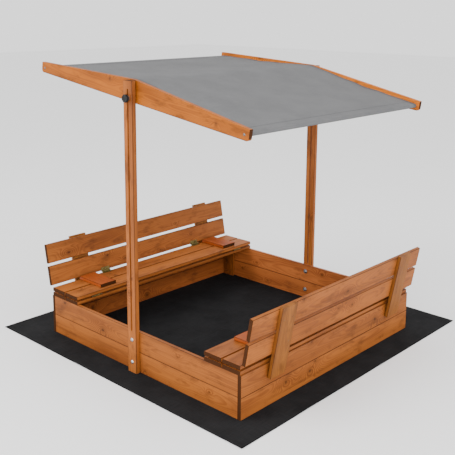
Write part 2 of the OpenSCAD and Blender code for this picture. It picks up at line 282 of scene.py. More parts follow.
# %% Timber
ROOF_TILT = math.radians(7.8)
BACK_LEAN = math.radians(10.6)
ALONG_X, ALONG_Y, UPRIGHT = Vector((1, 0, 0)), Vector((0, 1, 0)), Vector((0, 0, 1))
BOARD_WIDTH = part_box("front_wall_lower")[1].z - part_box("front_wall_lower")[0].z
RING_GAP = 0.0042
EDGE_BAND = 0.0030
END_BAND = (0.0009, 0.0004)
PAIR_SHIFT = 0.31
KNOT_STRETCH = 0.8
SWIRL_STRETCH = 0.45
SWIRL_REACH = 2.2
SWIRL_PUSH = 2.4

STAIN_LIGHT = colour(164, 94, 39)
STAIN_DARK = colour(114, 60, 25)
STAIN_STREAK = colour(84, 46, 22)
# dark brown for the boards' rounded long edges: partly dirt, partly painted shade in the grooves
# between neighbouring boards
EDGE_DIRT_AND_SHADE = colour(40, 19, 9)
KNOT_CORE = colour(58, 30, 14)
KNOT_RIM = colour(104, 58, 24)
END_LIGHT = colour(68, 36, 11)
END_DARK = colour(36, 17, 5)
RED_STAIN = (1.08, 0.72, 0.55)
ORANGE_STAIN = (1.06, 0.94, 0.38)
# a painted fill light: a lighter, bluer tint for walls whose inner faces lie in shade
PAINTED_FILL_TINT = (1.1, 1.07, 1.45)
GREY_STAIN = (0.9, 1.02, 0.95)
RAW_LIGHT = colour(214, 178, 120)
RAW_DARK = colour(178, 132, 76)


def shade_of(tone, stain, tint=(1, 1, 1)):
    """A stain made lighter or darker, and tinted."""
    return (*(part * tone * share for part, share in zip(stain, tint)), 1)


def timber(node, along, wide, seed, tone=1.0, knots=(), pair=False, raw=False, tint=(1, 1, 1),
           dark_ends=True):
    """Gives a board its own timber. along and wide are the board's directions, and knots are
    (along, across, radius) from the board's middle, in metres. A pair is two short boards
    that share the node, and they get timber from two places in the log."""
    draw = random.Random(seed)
    board = nodes[node]
    turn = Matrix((along, wide, along.cross(wide)))
    points = [turn @ corner.co for corner in board.data.vertices]
    low = Vector([min(point[i] for point in points) for i in range(3)])
    high = Vector([max(point[i] for point in points) for i in range(3)])
    middle = (low + high) / 2
    half_length, half_width, half_thick = (high - low) / 2
    apart = 2 * half_width - BOARD_WIDTH if pair else 0
    half_width -= apart / 2
    finish = Finish("timber_" + node, Specular_IOR_Level=0.14)
    own_place = finish.place(-middle, turn.to_euler())
    a, w, t = finish.axes(own_place)
    from_middle = abs(a)
    if pair:
        a = a + w.math("SIGN") * PAIR_SHIFT
        w = abs(w) - apart / 2

    # the heart line wanders and drifts, and branches push the rings aside
    slow = finish.noise(finish.stretch(own_place, (1.3, 4, 4), (seed * 1.7, 0, 0)), 1.0, 3) - 0.5
    sway = finish.noise(finish.stretch(own_place, (3.5, 9, 9), (0, seed * 2.3, 0)), 1.0, 2) - 0.5
    heart_w = draw.uniform(-0.026, 0.026)
    heart_t = draw.choice((-1, 1)) * draw.uniform(0.022, 0.055)
    drift = draw.choice((-1, 1)) * draw.uniform(0.015, 0.035)
    across = w - heart_w + slow * 0.05
    depth = t - heart_t + a * drift + sway * 0.02
    ring = (across ** 2 + depth ** 2) ** 0.5
    core, rim, swirl = 0.0, 0.0, 0.0
    wobble = finish.noise(own_place, 90, 2) - 0.5
    for knot_a, knot_w, radius in knots:
        away = (((a - knot_a) * KNOT_STRETCH) ** 2 + (w - knot_w) ** 2) ** 0.5 + wobble * radius * 0.5
        near = (((a - knot_a) * SWIRL_STRETCH) ** 2 + (w - knot_w) ** 2) ** 0.5
        near = near * (1 / (radius * SWIRL_REACH))
        push = (near * near * -1).math("EXPONENT")
        ring = ring + push * (radius * SWIRL_PUSH)
        swirl = push + swirl
        core = (1 - away.rise(radius * 0.3, radius * 0.6)) + core
        rim = (1 - away.rise(radius * 0.6, radius * 1.9)) + rim

    # pale soft wood grows into a dark line, and the next ring starts sharply. Fibres and
    # streaks are noise drawn out along the board, clouds and smudges are where stain pooled.
    in_ring = (ring * (1 / RING_GAP) + slow * 3).math("FRACT")
    late_wood = in_ring.rise(0.25, 0.9) * (1 - in_ring.rise(0.93, 1.0))
    fibre = finish.noise(finish.stretch(own_place, (9, 700, 700), (seed, 0, 0)), 1.0, 3, 0.6)
    streak = finish.noise(finish.stretch(own_place, (2.2, 60, 60), (seed * 3.1, 0, 0)), 1.0, 3)
    cloud = finish.noise(finish.stretch(own_place, (2.5, 14, 14), (0, 0, seed * 1.3)), 1.0, 3)
    smudge = finish.noise(finish.stretch(own_place, (12, 30, 30), (seed * 0.7, 0, 0)), 1.0, 5, 0.65)
    stains = (RAW_LIGHT, RAW_DARK, RAW_DARK) if raw else (STAIN_LIGHT, STAIN_DARK, STAIN_STREAK)
    light, dark, deep = (shade_of(tone, stain, tint) for stain in stains)
    ring_depth = cloud.rise(0.3, 0.7) * 0.3 + 0.28 + swirl * 0.7
    face = finish.mix(late_wood * ring_depth + fibre.rise(0.35, 0.75) * 0.2, light, dark)
    face = finish.mix(streak.rise(0.48, 0.8) * 0.5, face, deep)
    face = finish.mix(cloud.rise(0.4, 0.8) * 0.75, face, dark)
    face = finish.mix(smudge.rise(0.5, 0.72) * 0.55, face, deep)
    if knots:
        face = finish.mix(rim * 0.5, face, shade_of(tone, KNOT_RIM))
        face = finish.mix(core * 0.7, face, shade_of(tone, KNOT_CORE))
    if not raw:
        # the rounded long edges are painted darker: partly dirt, partly painted shade where
        # neighbouring boards meet in a groove
        arris_dirt_and_shade = ((abs(w) - half_width).rise(-EDGE_BAND, -EDGE_BAND / 4)
                 * (abs(t) - half_thick).rise(-EDGE_BAND, -EDGE_BAND / 4))
        face = finish.mix(arris_dirt_and_shade * (streak * 0.5 + 0.55), face, EDGE_DIRT_AND_SHADE)
    rough = 0.46 + fibre * 0.16 + late_wood * -0.06
    if dark_ends and not raw:
        at_end = from_middle.rise(half_length - END_BAND[0], half_length - END_BAND[1])
        end_grain = finish.mix(late_wood * 0.7 + fibre * 0.2, END_LIGHT, END_DARK)
        face = finish.mix(at_end, face, end_grain)
        rough = rough + at_end * 0.4
    finish.set("Base Color", face)
    finish.set("Roughness", rough)
    finish.bump(late_wood * 0.35 + fibre * 0.5 + cloud * 0.3, 0.0005, 0.5)
    give(board, finish)


KNOT_RADII = (0.004, 0.007, 0.010, 0.013)


def random_knots(seed, how_many, half_length, half_width):
    """Knots scattered along a board, within a half length and a half width."""
    draw = random.Random(seed)
    return [(draw.uniform(-half_length, half_length), draw.uniform(-half_width, half_width),
             draw.choice(KNOT_RADII)) for _ in range(how_many)]


LEANING = Vector((math.sin(BACK_LEAN), 0, math.cos(BACK_LEAN)))
LEANING_LEFT = Vector((-math.sin(BACK_LEAN), 0, math.cos(BACK_LEAN)))
ROOF_ALONG = Vector((math.cos(ROOF_TILT), 0, -math.sin(ROOF_TILT)))
ROOF_UP = Vector((math.sin(ROOF_TILT), 0, math.cos(ROOF_TILT)))

# the knots that give some boards their face: (along, across, radius) from a board's middle
KNOTS = {
    "front_wall_upper": [(-0.487, 0.030, 0.012), (-0.215, -0.019, 0.014), (0.25, 0.01, 0.005)],
    "front_wall_lower": [(0.055, -0.028, 0.007), (0.42, 0.012, 0.005)],
    "rear_wall_upper": [(0.104, 0.015, 0.008), (-0.33, -0.02, 0.005)],
    "right_wall_upper": [(0.307, -0.006, 0.015), (-0.158, 0.038, 0.009)],
    "right_wall_lower": [(-0.319, 0.013, 0.012), (-0.165, 0.004, 0.013), (-0.133, 0.034, 0.008)],
    "right_back_upper": [(0.02, -0.014, 0.010), (-0.286, 0.038, 0.010)],
    "left_back_lower": [(-0.248, 0.022, 0.011), (-0.142, -0.015, 0.006), (0.093, -0.028, 0.005),
                        (0.319, 0.005, 0.005)],
    "left_seat_inner": [(-0.513, -0.018, 0.011), (-0.482, 0.014, 0.006)],
}


def stained(node, along, wide, seed, tone=1.0, half_length=0.55, half_width=0.03, tint=(1, 1, 1)):
    """A stained board with its own knots, or with two scattered ones."""
    knots = KNOTS.get(node) or random_knots(seed, 2, half_length, half_width)
    timber(node, along, wide, seed, tone, knots, tint=tint)


stained("front_wall_upper", ALONG_X, UPRIGHT, 11, 0.90)
stained("front_wall_lower", ALONG_X, UPRIGHT, 12, 0.98)
# the rear wall is painted lighter (tone 1.3 and 1.2) and bluer: a painted fill light on its inner face,
# which lies in shade under the roof
stained("rear_wall_upper", ALONG_X, UPRIGHT, 13, 1.3, tint=PAINTED_FILL_TINT)
stained("rear_wall_lower", ALONG_X, UPRIGHT, 14, 1.2, tint=PAINTED_FILL_TINT)
for seed, (side, row) in enumerate([("left", "lower"), ("left", "upper"), ("right", "lower"),
                                    ("right", "upper")], 21):
    leaning = LEANING if side == "right" else LEANING_LEFT
    # the left wall gets the painted fill tint, lighter and bluer, for its inner face in shade
    stained(f"{side}_wall_{row}", ALONG_Y, UPRIGHT, seed, 0.92 + 0.04 * (seed % 3),
            tint=PAINTED_FILL_TINT if side == "left" else (1, 1, 1))
    stained(f"{side}_back_{row}", ALONG_Y, leaning, seed + 10, 0.94 + 0.05 * (seed % 2))
for seed, (side, place) in enumerate([("left", "outer"), ("left", "inner"), ("right", "outer"),
                                      ("right", "inner")], 41):
    stained(f"{side}_fixed_{place}", ALONG_Y, ALONG_X, seed, 0.9)
    # the left seat boards are painted lighter than the right ones: painted light on their lit tops
    stained(f"{side}_seat_{place}", ALONG_Y, ALONG_X, seed + 10, 1.08 if side == "left" else 0.99)
for seed, corner in enumerate(["front_left", "front_right", "rear_left", "rear_right"], 61):
    stained("corner_" + corner, UPRIGHT, ALONG_X, seed, 0.9, 0.07, half_width=0.02)
for seed, end in enumerate(["front", "rear"], 71):
    stained(end + "_post", UPRIGHT, ALONG_X, seed, 0.97 if end == "front" else 1.2, half_width=0.018)
    # the rear rail is painted much lighter (tone 1.6): a painted highlight, since its inner face
    # catches the light
    stained(end + "_rail", ROOF_ALONG, ROOF_UP, seed + 5, 0.93 if end == "front" else 1.6,
            half_width=0.02, tint=ORANGE_STAIN)
for seed, side in enumerate(["left", "right"], 81):
    leaning = LEANING if side == "right" else LEANING_LEFT
    timber(side + "_seat_battens", ALONG_X, ALONG_Y, seed, 0.92, pair=True, tint=RED_STAIN)
    timber(side + "_cleats", leaning, ALONG_Y, seed + 5, 0.84, pair=True, tint=GREY_STAIN,
           dark_ends=False)
    timber(side + "_rod", ALONG_Y, ALONG_X, seed + 9, 1.0, raw=True)
timber("ridge_bar", ALONG_Y, ROOF_UP, 95, 0.95, raw=True)
print("boards finished:", sum(1 for material in bpy.data.materials if "timber_" in material.name))

# %% [markdown]
# ## Metal and plastic
# Bolts, washers, nuts and pins are zinc plated: bright, with a cloudy bloom. Hinges have a
# dull yellow plating, and the wood screws are browned, so that they hardly show in the
# stained boards. All are one metal shader with a soft noise on colour and roughness.

# %% Metal
def plated(name, bright, dull, smooth, rough):
    """A plated metal, with clouds from bright and smooth to dull and rough."""
    finish = Finish(name, Metallic=1.0)
    where = finish.place()
    cloud = finish.noise(where, 140, 4, 0.6)
    grit = finish.noise(where, 2500, 2)
    finish.set("Base Color", finish.mix(cloud.rise(0.35, 0.7), bright, dull))
    finish.set("Roughness", cloud * (rough - smooth) + smooth + grit * 0.06)
    finish.bump(grit * 0.5 + cloud * 0.5, 0.00015, 0.5)
    return finish


zinc = plated("zinc_plating", (0.52, 0.53, 0.55, 1), (0.30, 0.31, 0.32, 1), 0.25, 0.5)
steel = plated("dull_plating", (0.28, 0.28, 0.28, 1), (0.10, 0.095, 0.09, 1), 0.3, 0.6)
brass = plated("yellow_plating", (0.26, 0.21, 0.075, 1), (0.10, 0.075, 0.025, 1), 0.34, 0.6)
bronze = plated("browned_plating", (0.26, 0.13, 0.06, 1), (0.12, 0.06, 0.03, 1), 0.4, 0.65)
for name in ("post_bolts", "post_washers", "post_nuts", "clamp_bolts", "clamp_washers",
             "seat_hinge_pins", "left_back_hinge_pins", "right_back_hinge_pins"):
    give(nodes[name], zinc)
for name in nodes:
    if "leaves" in name:
        give(nodes[name], brass)
print("metal finishes given")

# %% [markdown]
# ## Clamp knobs
# A black moulded hand knob clamps each post's bolt. It is a short disc with a hub below, a
# fluted rim for the fingers and a shallow dish on top. One knob is turned from a cylinder
# primitive: its top is inset and sunk for the dish, the flutes are pressed into the rim by a
# formula, and a bevel softens the edges. A copy serves the rear post.

# %% Clamp knobs
KNOB_FLUTES = 8
FLUTE_DEPTH = 0.09
HUB_HEIGHT = 0.005
HUB_SHARE = 0.68
RIM_CHAMFER = 0.002
DISH_DEPTH = 0.0015


def finished(piece, name):
    """Names a piece and puts its place into its mesh."""
    select_only(piece)
    bpy.ops.object.transform_apply(location=True, rotation=True, scale=True)
    piece.name = name
    piece.data.name = name
    return piece


def pick_faces(piece, rule):
    """In edit mode, selects the faces whose middle and normal fit the rule, and no others."""
    shape = bmesh.from_edit_mesh(piece.data)
    for face in shape.faces:
        face.select_set(rule(face.calc_center_median(), face.normal))
    shape.select_flush(True)
    bmesh.update_edit_mesh(piece.data)


knob_low, knob_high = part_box("front_knob")
knob_radius = (knob_high.x - knob_low.x) / 2
knob_height = knob_high.y - knob_low.y
bpy.ops.object.select_all(action="DESELECT")
bpy.ops.mesh.primitive_cylinder_add(vertices=96, radius=knob_radius * HUB_SHARE, depth=HUB_HEIGHT,
                                    location=(0, 0, HUB_HEIGHT / 2))
front_knob = bpy.context.object
bpy.ops.object.transform_apply(location=True, rotation=False, scale=False)
bpy.ops.object.mode_set(mode="EDIT")
bpy.ops.mesh.select_mode(type="FACE")
pick_faces(front_knob, lambda middle, normal: normal.z > 0.9)
bpy.ops.mesh.extrude_region_move(TRANSFORM_OT_translate={"value": (0, 0, 0.0001)})
bpy.ops.transform.resize(value=(1 / HUB_SHARE, 1 / HUB_SHARE, 1))
rim_height = knob_height - HUB_HEIGHT - RIM_CHAMFER - 0.0001
bpy.ops.mesh.extrude_region_move(TRANSFORM_OT_translate={"value": (0, 0, rim_height)})
bpy.ops.mesh.extrude_region_move(TRANSFORM_OT_translate={"value": (0, 0, RIM_CHAMFER)})
bpy.ops.transform.resize(value=(0.88, 0.88, 1))
bpy.ops.mesh.inset(thickness=knob_radius * 0.18)
bpy.ops.mesh.extrude_region_move(TRANSFORM_OT_translate={"value": (0, 0, -DISH_DEPTH)})
bpy.ops.transform.resize(value=(0.85, 0.85, 1))
bpy.ops.object.mode_set(mode="OBJECT")
for corner in front_knob.data.vertices:
    reach = math.hypot(corner.co.x, corner.co.y) / knob_radius
    if reach > 0.8:
        turn = math.atan2(corner.co.y, corner.co.x)
        flute = (0.5 + 0.5 * math.cos(KNOB_FLUTES * turn)) ** 3
        corner.co.x *= 1 - FLUTE_DEPTH * flute
        corner.co.y *= 1 - FLUTE_DEPTH * flute
bevel = front_knob.modifiers.new("soft_edges", "BEVEL")
bevel.width = 0.0009
bevel.segments = 3
bevel.limit_method = "ANGLE"
select_only(front_knob)
bpy.ops.object.modifier_apply(modifier="soft_edges")
bpy.ops.object.shade_smooth_by_angle(angle=math.radians(35))
knob_middle = (knob_low + knob_high) / 2
front_knob.rotation_euler = (math.radians(90), 0, 0)
front_knob.location = (knob_middle.x, knob_high.y, knob_middle.z)
finished(front_knob, "front_clamp_knob")
rear_knob = front_knob.copy()
rear_knob.data = front_knob.data.copy()
scene.collection.objects.link(rear_knob)
rear_knob.rotation_euler = (0, 0, math.radians(180))
finished(rear_knob, "rear_clamp_knob")

moulded = Finish("black_moulding", Base_Color=(0.006, 0.006, 0.0065, 1), Specular_IOR_Level=0.25)
moulded_place = moulded.place()
moulded_grain = moulded.noise(moulded_place, 1800, 3)
moulded_scuffs = moulded.noise(moulded_place, 160, 4, 0.6)
moulded.set("Roughness", moulded_scuffs * 0.22 + 0.34)
moulded.bump(moulded_grain, 0.0001, 0.6)
for knob, node, body in ((front_knob, "front_knob", "front_knob_body"),
                         (rear_knob, "rear_knob", "rear_knob_body")):
    give(knob, moulded)
    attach(knob, body)
    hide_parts(node)
for knob in (front_knob, rear_knob):
    print(knob.name, tuple(round(side, 4) for side in knob.dimensions))

# %% [markdown]
# ## Screws
# Countersunk wood screws hold the corner boards, the battens and the cleats, and smaller ones
# hold the hinge leaves. Button-head screws hold the roof's rods. Only the heads show, so what
# matters is the recess for the driver: a cross in the wood screws and a hexagon in the others.
# A head is turned from a cone or a cylinder primitive, its top is inset and raised, and the
# recess is cut out of it with a Boolean modifier, which is the quickest way to a sharp pocket.

# %% One screw of each kind
WOOD_SCREW_RADIUS, WOOD_SCREW_HEIGHT, WOOD_SCREW_LENGTH = 0.0035, 0.003, 0.028
HINGE_SCREW_RADIUS, HINGE_SCREW_HEIGHT, HINGE_SCREW_LENGTH = 0.0027, 0.0016, 0.012
WOOD_SCREW_NECK, HINGE_SCREW_NECK = 0.002, 0.0014
RAIL_SCREW_RADIUS, RAIL_SCREW_RIM, RAIL_SCREW_DOME, RAIL_SCREW_LENGTH = 0.005, 0.0007, 0.0017, 0.008


def cut_out(piece, cutter):
    """Cuts one piece out of another and deletes the cutter."""
    recess = piece.modifiers.new("recess", "BOOLEAN")
    recess.operation = "DIFFERENCE"
    recess.solver = "EXACT"
    recess.object = cutter
    select_only(piece)
    bpy.ops.object.modifier_apply(modifier="recess")
    bpy.data.objects.remove(cutter)


def turned_screw(name, radius, neck, height, length, dome):
    """A screw with the rim of its head at height 0, its dome above and its shank below."""
    bpy.ops.object.select_all(action="DESELECT")
    bpy.ops.mesh.primitive_cone_add(vertices=28, radius1=neck, radius2=radius, depth=height,
                                    location=(0, 0, -height / 2))
    screw = bpy.context.object
    screw.name = name
    bpy.ops.object.transform_apply(location=True, rotation=False, scale=False)
    bpy.ops.object.mode_set(mode="EDIT")
    bpy.ops.mesh.select_mode(type="FACE")
    pick_faces(screw, lambda middle, normal: normal.z > 0.9)
    for share, rise in ((0.16, 0.5), (0.2, 0.3), (0.22, 0.2)):
        bpy.ops.mesh.inset(thickness=radius * share)
        bpy.ops.transform.translate(value=(0, 0, dome * rise))
    pick_faces(screw, lambda middle, normal: normal.z < -0.9)
    shank = length - height - neck
    bpy.ops.mesh.extrude_region_move(TRANSFORM_OT_translate={"value": (0, 0, -0.0001)})
    bpy.ops.transform.resize(value=(0.9, 0.9, 1))
    bpy.ops.mesh.extrude_region_move(TRANSFORM_OT_translate={"value": (0, 0, -shank)})
    bpy.ops.mesh.extrude_region_move(TRANSFORM_OT_translate={"value": (0, 0, -neck)})
    bpy.ops.transform.resize(value=(0.3, 0.3, 1))
    bpy.ops.object.mode_set(mode="OBJECT")
    return screw


def cross_recess(screw, reach, depth):
    """Cuts a cross into the top of a screw: two bars that narrow towards their bottom."""
    for quarter in (0, 1):
        bpy.ops.object.select_all(action="DESELECT")
        bpy.ops.mesh.primitive_cube_add(size=1)
        bar = bpy.context.object
        for corner in bar.data.vertices:
            narrow = 0.4 if corner.co.z < 0 else 1.0
            corner.co.x *= 2 * reach * narrow
            corner.co.y *= 0.42 * reach
            corner.co.z *= 2 * depth
        bar.rotation_euler = (0, 0, math.radians(90 * quarter))
        cut_out(screw, bar)


wood_screw = turned_screw("wood_screw", WOOD_SCREW_RADIUS, WOOD_SCREW_NECK, WOOD_SCREW_HEIGHT,
                          WOOD_SCREW_LENGTH, 0.0002)
cross_recess(wood_screw, WOOD_SCREW_RADIUS * 0.62, 0.0014)
hinge_screw = turned_screw("hinge_screw", HINGE_SCREW_RADIUS, HINGE_SCREW_NECK, HINGE_SCREW_HEIGHT,
                           HINGE_SCREW_LENGTH, 0.0004)
cross_recess(hinge_screw, HINGE_SCREW_RADIUS * 0.6, 0.0010)
rail_screw = turned_screw("rail_screw", RAIL_SCREW_RADIUS, RAIL_SCREW_RADIUS * 0.96, RAIL_SCREW_RIM,
                          RAIL_SCREW_LENGTH, RAIL_SCREW_DOME)
bpy.ops.object.select_all(action="DESELECT")
bpy.ops.mesh.primitive_cylinder_add(vertices=6, radius=RAIL_SCREW_RADIUS * 0.4, depth=0.003,
                                    location=(0, 0, RAIL_SCREW_DOME + 0.0001))
cut_out(rail_screw, bpy.context.object)
for screw in (wood_screw, hinge_screw, rail_screw):
    select_only(screw)
    bpy.ops.object.shade_smooth_by_angle(angle=math.radians(30))
    print(screw.name, len(screw.data.polygons), "faces")

# %% [markdown]
# The places come from the CAD nodes. A node is many solids in one mesh, so a copy of it is
# merged and walked from face to face. The largest flat side of a wood screw is the top of its
# head, and that of a rail screw is the underside of its head, which faces the other way. The
# side of a hinge leaf that faces away from the wood is where its own screws sit.

# %% Screw places
def solids_of(node):
    """The separate solids of a CAD node, each a list of its faces' (normal, area, middle)."""
    shape = bmesh.new()
    shape.from_mesh(nodes[node].data)
    bmesh.ops.remove_doubles(shape, verts=shape.verts, dist=0.00001)
    shape.normal_update()
    solids, seen = [], set()
    for first in shape.faces:
        if first in seen:
            continue
        seen.add(first)
        waiting, faces = [first], []
        while waiting:
            face = waiting.pop()
            faces.append((face.normal.copy(), face.calc_area(), face.calc_center_median()))
            for edge in face.edges:
                for other in edge.link_faces:
                    if other not in seen:
                        seen.add(other)
                        waiting.append(other)
        solids.append(faces)
    shape.free()
    return solids


def flat_side(faces, towards=None):
    """Middle and normal of a solid's largest flat side, or of the one that faces that way."""
    sides = {}
    for normal, area, middle in faces:
        if towards and normal.dot(towards) < 0.999:
            continue
        plane = (*(round(part, 2) for part in normal), round(normal.dot(middle), 4))
        side = sides.setdefault(plane, [0.0, Vector(), normal])
        side[0] += area
        side[1] += middle * area
    area, weighted, normal = max(sides.values(), key=lambda side: side[0])
    return weighted / area, normal


def screw_in(point, outward, turn):
    """A place with Z outward, turned about it by that angle."""
    return (Matrix.Translation(point) @ outward.to_track_quat("Z", "Y").to_matrix().to_4x4()
            @ Matrix.Rotation(turn, 4, "Z"))


def copies(name, template, places):
    """One piece that holds its own copy of the template at each place."""
    joined = bmesh.new()
    for place in places:
        one = template.data.copy()
        one.transform(place)
        joined.from_mesh(one)
        bpy.data.meshes.remove(one)
    mesh = bpy.data.meshes.new(name)
    joined.to_mesh(mesh)
    joined.free()
    piece = bpy.data.objects.new(name, mesh)
    scene.collection.objects.link(piece)
    return piece


# %% Screws in their places
LEAF_SCREW_GAP = 0.015
driver = random.Random(5)
screw_bodies = {"frame_screws": "sandbox", "rail_screws": "roof"}
leaf_faces = {"seat_hinge_fixed_leaves": ("sandbox", UPRIGHT)}
for side in ("left", "right"):
    inwards = 1 if side == "left" else -1
    back_front = Vector((inwards * math.cos(BACK_LEAN), 0, math.sin(BACK_LEAN)))
    screw_bodies[side + "_seat_screws"] = side + "_seat"
    screw_bodies[side + "_cleat_screws"] = side + "_back"
    leaf_faces[side + "_seat_hinge_leaves"] = (side + "_seat", -UPRIGHT)
    leaf_faces[side + "_back_hinge_seat_leaves"] = (side + "_seat", UPRIGHT)
    leaf_faces[side + "_back_hinge_leaves"] = (side + "_back", back_front)

for node, body in screw_bodies.items():
    template = rail_screw if node == "rail_screws" else wood_screw
    places = []
    for faces in solids_of(node):
        middle, outward = flat_side(faces)
        if node == "rail_screws":
            outward = ALONG_Y * math.copysign(1, middle.y)
            middle = flat_side(faces, -outward)[0] + outward * RAIL_SCREW_RIM
        places.append(screw_in(middle, outward, driver.uniform(0, math.pi)))
    piece = copies(node + "_driven", template, places)
    give(piece, steel if node == "rail_screws" else bronze)
    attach(piece, body)
    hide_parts(node)
    print(piece.name, len(places))
for node, (body, outward) in leaf_faces.items():
    places = []
    for faces in solids_of(node):
        middle, _ = flat_side(faces, outward)
        for along in (-LEAF_SCREW_GAP, LEAF_SCREW_GAP):
            places.append(screw_in(middle + ALONG_Y * along, outward, driver.uniform(0, math.pi)))
    piece = copies(node + "_screws", hinge_screw, places)
    give(piece, brass)
    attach(piece, body)
    print(piece.name, len(places))
for screw in (wood_screw, hinge_screw, rail_screw):
    bpy.data.objects.remove(screw)

# %% [markdown]
# ## The canopy
# The roof is one piece of woven polyester. Each end is folded back into a sleeve round a
# wooden rod and sewn, and each side has a narrow double hem. The cloth runs over the ridge
# bar and hangs a few millimetres between the ridge and the rods.
# A flat grid is bent by a formula along that path. The formula works with real path lengths,
# so the cloth keeps the size that it was cut to.

# %% The canopy's path
rod_low, rod_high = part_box("right_rod")
roof_pivot = Vector(next(joint for joint in frame["joints"] if joint["name"] == "roof_tilt")["pos_m"])
ROD_RADIUS = (rod_high.x - rod_low.x) / 2
CLOTH_THICK = 0.0010
SLEEVE_RADIUS = ROD_RADIUS + 0.0003 + CLOTH_THICK / 2
SEAM_IN = 0.034
RIDGE_SOFT = 0.012
SAG = 0.009
FOLD_DEPTH, PULL_DEPTH = 0.0009, 0.0012
to_roof = Matrix.Rotation(-ROOF_TILT, 3, "Y")
rod_middle = to_roof @ ((rod_low + rod_high) / 2 - roof_pivot)
ROD_OUT, ROD_UP = rod_middle.x, rod_middle.z
canopy_low, canopy_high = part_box("canopy")
CLOTH_WIDTH = canopy_high.y - canopy_low.y
ridge_bar_up = max((to_roof @ (corner.co - roof_pivot)).z
                   for corner in nodes["ridge_bar"].data.vertices)
RIDGE_UP = ridge_bar_up + 0.0004 + CLOTH_THICK
print("rod at", ROD_OUT, ROD_UP, "radius", ROD_RADIUS, "ridge", RIDGE_UP)

# %% The canopy
def roof_height_at(out):
    """Height of the cloth's middle over the roof's pivot, at a place between the rods."""
    top = RIDGE_UP - CLOTH_THICK / 2
    slope = (top - (ROD_UP + SLEEVE_RADIUS)) / (math.hypot(ROD_OUT, RIDGE_SOFT) - RIDGE_SOFT)
    return top - slope * (math.hypot(out, RIDGE_SOFT) - RIDGE_SOFT)


def sleeve_path(side):
    """Points from the sleeve's seam, below the cloth, round the rod to its top."""
    seam_out = ROD_OUT - SEAM_IN
    seam = Vector((side * seam_out, 0, roof_height_at(seam_out) - 1.4 * CLOTH_THICK))
    points = [seam]
    first = math.radians(-112)
    for step in range(25):
        turn = first + (math.radians(90) - first) * step / 24
        points.append(Vector((side * (ROD_OUT + SLEEVE_RADIUS * math.cos(turn)), 0,
                              ROD_UP + SLEEVE_RADIUS * math.sin(turn))))
    return points


SLOPE_STEPS = 110
left_sleeve = sleeve_path(-1)
right_sleeve = list(reversed(sleeve_path(1)))
slopes = []
for step in range(1, SLOPE_STEPS):
    out = -ROD_OUT + 2 * ROD_OUT * step / SLOPE_STEPS
    slopes.append(Vector((out, 0, roof_height_at(out))))
canopy_path = left_sleeve + slopes + right_sleeve
path_lengths = [0.0]
for before, after in zip(canopy_path, canopy_path[1:]):
    path_lengths.append(path_lengths[-1] + (after - before).length)


def sag_at(out, across):
    """How far the cloth hangs below its straight line, with faint folds near its side edges."""
    between = math.sin(math.pi * min(1, abs(out) / ROD_OUT)) ** 2
    side = abs(across) / (CLOTH_WIDTH / 2)
    folds = FOLD_DEPTH * math.sin(out * 47 + across * 9) * side ** 4
    pulls = PULL_DEPTH * math.sin((abs(out) + abs(across)) * 38) * side ** 2
    return between * (SAG * (1 - 0.35 * side ** 2) + folds + pulls)


def roof_place(along, across, lift=0.0):
    """The point at that length along the path and place across, and lift above the cloth."""
    step = 0
    while step < len(path_lengths) - 2 and path_lengths[step + 1] < along:
        step += 1
    part = (along - path_lengths[step]) / (path_lengths[step + 1] - path_lengths[step])
    point = canopy_path[step].lerp(canopy_path[step + 1], part)
    run = (canopy_path[step + 1] - canopy_path[step]).normalized()
    outward = Vector((-run.z, 0, run.x))
    point = Vector((point.x, across, point.z)) + outward * lift
    if len(left_sleeve) <= step < len(left_sleeve) + len(slopes):
        point.z -= sag_at(point.x, across)
    return to_roof.transposed() @ point + roof_pivot


def cloth_strip(name, from_across, to_across, across_steps, lift, thick):
    """A strip of cloth along the whole path, with a map that measures it in metres."""
    bpy.ops.object.select_all(action="DESELECT")
    bpy.ops.mesh.primitive_grid_add(x_subdivisions=across_steps, y_subdivisions=len(canopy_path) - 1)
    strip = bpy.context.object
    for corner in strip.data.vertices:
        across = from_across + (to_across - from_across) * (corner.co.x + 1) / 2
        step = round((corner.co.y + 1) / 2 * (len(canopy_path) - 1))
        corner.co = roof_place(path_lengths[step], across, lift)
    for corner in strip.data.uv_layers[0].uv:
        step = round(corner.vector.y * (len(canopy_path) - 1))
        across = from_across + (to_across - from_across) * corner.vector.x
        corner.vector = (across, path_lengths[step])
    bpy.ops.object.mode_set(mode="EDIT")
    bpy.ops.mesh.select_all(action="SELECT")
    bpy.ops.mesh.normals_make_consistent(inside=False)
    bpy.ops.object.mode_set(mode="OBJECT")
    thickness = strip.modifiers.new("thickness", "SOLIDIFY")
    thickness.thickness = thick
    thickness.offset = 0
    bpy.ops.object.modifier_apply(modifier="thickness")
    bpy.ops.object.shade_smooth_by_angle(angle=math.radians(50))
    finished(strip, name)
    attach(strip, "roof")
    return strip


HEM_WIDTH, HEM_LIFT, HEM_THICK = 0.016, 0.0008, 0.0006
HEM_INSET = 0.0004
canopy = cloth_strip("canopy_cloth", -CLOTH_WIDTH / 2, CLOTH_WIDTH / 2, 72, 0, CLOTH_THICK)
hems = []
for name, side in (("canopy_front_hem", -1), ("canopy_rear_hem", 1)):
    edge = side * (CLOTH_WIDTH / 2 - HEM_INSET)
    inner = edge - side * HEM_WIDTH
    hems.append(cloth_strip(name, min(edge, inner), max(edge, inner), 4, HEM_LIFT, HEM_THICK))

# %% [markdown]
# ## Stitching
# Lines of stitches hold the sleeves and the side hems. One stitch is a short bar with bevelled
# ends, and it is copied along each seam at the pitch of a sewing machine. The thread is a
# little lighter than the cloth, so the seams read as fine broken lines.

